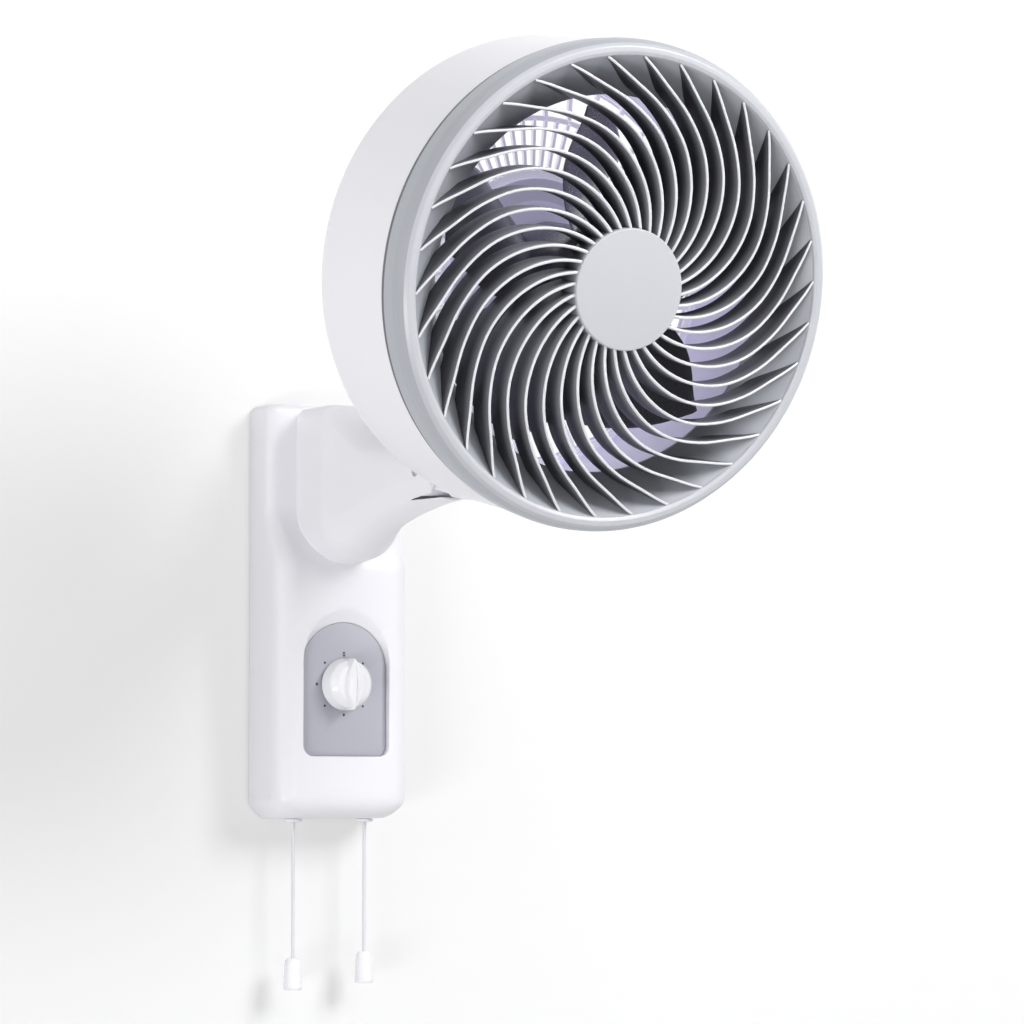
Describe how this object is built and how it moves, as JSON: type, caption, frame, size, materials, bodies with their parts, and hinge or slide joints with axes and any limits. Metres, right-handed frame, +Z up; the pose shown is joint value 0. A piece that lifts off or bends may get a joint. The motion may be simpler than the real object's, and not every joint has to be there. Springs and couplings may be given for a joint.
{
  "type": "wall mounted fan",
  "caption": "Wall mounted fan: a drum-shaped, swirl-grilled fan head on a tilting neck and swing drive, an arm, and a wall box with a speed dial and pull cords.",
  "frame": {"origin": "centre of the wall plate's back face, halfway up the wall box", "axes": "+Z up, +Y into the wall, so the air is blown towards -Y, and +X to the right of a viewer who faces the wall"},
  "size_m": [0.281, 0.406, 0.5645],
  "materials": {
    "white_plastic": "smooth satin",
    "grey_plastic": "smooth satin",
    "plate_grey": "fine grain",
    "blade_grey": "smooth, slightly glossy",
    "black_plastic": "moulded",
    "steel": "plated",
    "dark_steel": "laminated",
    "cast_aluminium": "cast",
    "brass": "turned",
    "copper": "enamelled wire",
    "rubber": "moulded",
    "nylon": "moulded",
    "cord_white": "braided"
  },
  "bodies": {
    "wall_mount": {"wall_plate": "steel", "front_cover": "white_plastic", "control_plate": "plate_grey", "rotary_switch": "black_plastic", "terminal_block": "nylon", "run_capacitor": "black_plastic", "inlet_grommet": "rubber", "cover_screw_1": "steel", "cover_screw_2": "steel", "cover_screw_3": "steel", "cover_screw_4": "steel", "switch_screw_1": "steel", "switch_screw_2": "steel", "pull_switch_left": "black_plastic", "pull_switch_right": "black_plastic", "cord_bush_left": "nylon", "cord_bush_right": "nylon", "pull_spring_left": "steel", "pull_spring_right": "steel", "arm": "white_plastic", "tilt_pin": "steel", "arm_screw_1": "steel", "arm_screw_2": "steel", "arm_screw_3": "steel", "arm_screw_4": "steel"},
    "speed_knob": {"knob": "white_plastic", "knob_shaft": "brass"},
    "left_pull": {"pull_slider_left": "nylon", "pull_cord_left": "cord_white", "pull_bell_left": "white_plastic"},
    "right_pull": {"pull_slider_right": "nylon", "pull_cord_right": "cord_white", "pull_bell_right": "white_plastic"},
    "tilting_neck": {"neck": "white_plastic", "sector_gear": "nylon"},
    "fan_head": {"swing_bracket": "cast_aluminium", "swing_motor": "steel", "gear_cover": "white_plastic", "pivot_clip": "dark_steel", "motor_cover": "white_plastic", "motor_front_shield": "white_plastic", "motor_rear_shield": "cast_aluminium", "stator_core": "dark_steel", "winding_front": "copper", "winding_rear": "copper", "bearing_front": "steel", "bearing_rear": "steel", "rear_guard": "white_plastic", "drum": "white_plastic", "front_grille": "grey_plastic", "motor_screw_1": "steel", "motor_screw_2": "steel", "motor_screw_3": "steel", "motor_screw_4": "steel"},
    "pinion": {"swing_pinion": "nylon"},
    "fan_wheel": {"impeller": "blade_grey", "spinner_nut": "blade_grey", "motor_shaft": "steel", "rotor": "dark_steel"}
  },
  "joints": [
    {"name": "knob_turn", "type": "hinge", "parent": "wall_mount", "child": "speed_knob", "pos_m": [0, -0.045, -0.047], "axis": [0, 1, 0], "range_deg": [0, 315]},
    {"name": "pull_left", "type": "slide", "parent": "wall_mount", "child": "left_pull", "axis": [0, 0, -1], "range_m": [0, 0.008], "stiffness_N_per_m": 160, "springref_m": -0.002, "deforming": ["pull_spring_left"]},
    {"name": "pull_right", "type": "slide", "parent": "wall_mount", "child": "right_pull", "axis": [0, 0, -1], "range_m": [0, 0.008], "stiffness_N_per_m": 160, "springref_m": -0.002, "deforming": ["pull_spring_right"]},
    {"name": "head_tilt", "type": "hinge", "parent": "wall_mount", "child": "tilting_neck", "pos_m": [0, -0.167, 0.08], "axis": [1, 0, 0], "range_deg": [-12, 10]},
    {"name": "head_swing", "type": "hinge", "parent": "tilting_neck", "child": "fan_head", "pos_m": [0, -0.23028, 0.19949], "axis": [0, -0.2079, 0.9781], "range_deg": [-40, 40]},
    {"name": "pinion_turn", "type": "hinge", "parent": "fan_head", "child": "pinion", "pos_m": [0, -0.19675, 0.15141], "axis": [0, -0.2079, 0.9781], "range_deg": [-160, 160]},
    {"name": "fan_spin", "type": "hinge", "parent": "fan_head", "child": "fan_wheel", "pos_m": [0, -0.31831, 0.18077], "axis": [0, 0.9781, 0.2079], "continuous": true}
  ],
  "couplings": [
    {"joint": "pinion_turn", "follows": "head_swing", "ratio": 4}
  ]
}
